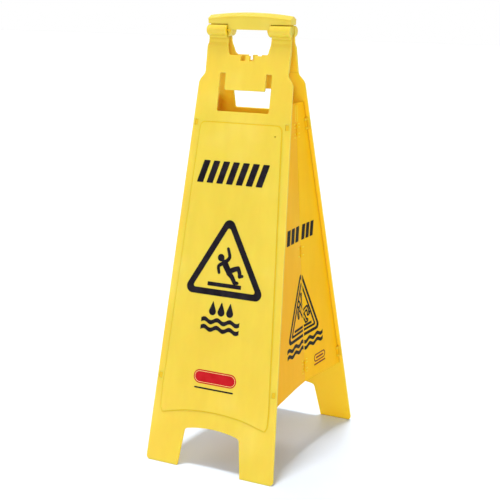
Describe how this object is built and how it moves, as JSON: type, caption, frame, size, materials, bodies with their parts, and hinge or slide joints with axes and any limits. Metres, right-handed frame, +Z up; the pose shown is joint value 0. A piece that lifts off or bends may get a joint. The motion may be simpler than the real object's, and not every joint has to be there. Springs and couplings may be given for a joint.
{
  "type": "folding wet floor sign",
  "caption": "Folding A-frame floor warning sign: front and rear panels joined at a top handle, with folding side panels between them.",
  "frame": {"origin": "middle of the footprint on the floor", "axes": "+Z up, front panel faces -Y, +X to the right seen from the front"},
  "size_m": [0.3042, 0.406, 0.9365],
  "materials": {
    "panel_yellow": "moulded polypropylene, satin",
    "handle_yellow": "moulded polypropylene, satin",
    "leaf_yellow": "moulded polypropylene, satin",
    "clip_amber": "moulded plastic",
    "pin_amber": "moulded plastic"
  },
  "bodies": {
    "rear_panel": {"rear_panel": "panel_yellow", "clip_rear_right_low": "clip_amber", "clip_rear_right_top": "clip_amber", "clip_rear_left_low": "clip_amber", "clip_rear_left_top": "clip_amber", "edge_pin_rear_right_low": "pin_amber", "edge_pin_rear_right_top": "pin_amber", "edge_pin_rear_left_low": "pin_amber", "edge_pin_rear_left_top": "pin_amber"},
    "front_panel": {"front_panel": "panel_yellow", "clip_front_right_low": "clip_amber", "clip_front_right_top": "clip_amber", "clip_front_left_low": "clip_amber", "clip_front_left_top": "clip_amber", "edge_pin_front_right_low": "pin_amber", "edge_pin_front_right_top": "pin_amber", "edge_pin_front_left_low": "pin_amber", "edge_pin_front_left_top": "pin_amber"},
    "right_rear_leaf": {"right_rear_leaf": "leaf_yellow", "fold_pin_right_low": "pin_amber", "fold_pin_right_mid": "pin_amber", "fold_pin_right_top": "pin_amber"},
    "right_front_leaf": {"right_front_leaf": "leaf_yellow"},
    "left_rear_leaf": {"left_rear_leaf": "leaf_yellow"},
    "left_front_leaf": {"left_front_leaf": "leaf_yellow", "fold_pin_left_low": "pin_amber", "fold_pin_left_mid": "pin_amber", "fold_pin_left_top": "pin_amber"},
    "handle": {"handle": "handle_yellow", "top_pin_front_left": "pin_amber", "top_pin_front_right": "pin_amber", "top_pin_rear_left": "pin_amber", "top_pin_rear_right": "pin_amber"}
  },
  "joints": [
    {"name": "right_rear_fold", "type": "hinge", "parent": "rear_panel", "child": "right_rear_leaf", "pos_m": [0.11575, 0.081, 0.52092], "axis": [0.053, 0.212, -0.9758], "range_deg": [0, 78]},
    {"name": "right_centre_fold", "type": "hinge", "parent": "right_rear_leaf", "child": "right_front_leaf", "pos_m": [0.11199, 0, 0.52184], "axis": [-0.0443, 0, 0.999], "range_deg": [0, 153.66]},
    {"name": "right_front_fold", "type": "hinge", "parent": "right_front_leaf", "child": "front_panel", "pos_m": [0.11575, -0.081, 0.52092], "axis": [0.053, -0.212, -0.9758], "range_deg": [0, 77.69]},
    {"name": "left_rear_fold", "type": "hinge", "parent": "rear_panel", "child": "left_rear_leaf", "pos_m": [-0.11575, 0.081, 0.52092], "axis": [0.053, -0.212, 0.9758], "range_deg": [0, 85.8]},
    {"name": "left_front_fold", "type": "hinge", "parent": "front_panel", "child": "left_front_leaf", "pos_m": [-0.11575, -0.081, 0.52092], "axis": [-0.053, -0.212, -0.9758], "range_deg": [0, 85.8]},
    {"name": "handle_pivot", "type": "hinge", "parent": "rear_panel", "child": "handle", "pos_m": [0, 0.0095, 0.9], "axis": [1, 0, 0], "range_deg": [0, 10.92]}
  ],
  "couplings": [
    {"joint": "right_centre_fold", "follows": "right_rear_fold", "ratio": 1.97},
    {"joint": "right_front_fold", "follows": "right_rear_fold", "ratio": 0.996},
    {"joint": "left_rear_fold", "follows": "right_rear_fold", "ratio": 1.1},
    {"joint": "left_front_fold", "follows": "right_rear_fold", "ratio": 1.1},
    {"joint": "handle_pivot", "follows": "right_rear_fold", "ratio": 0.14}
  ]
}
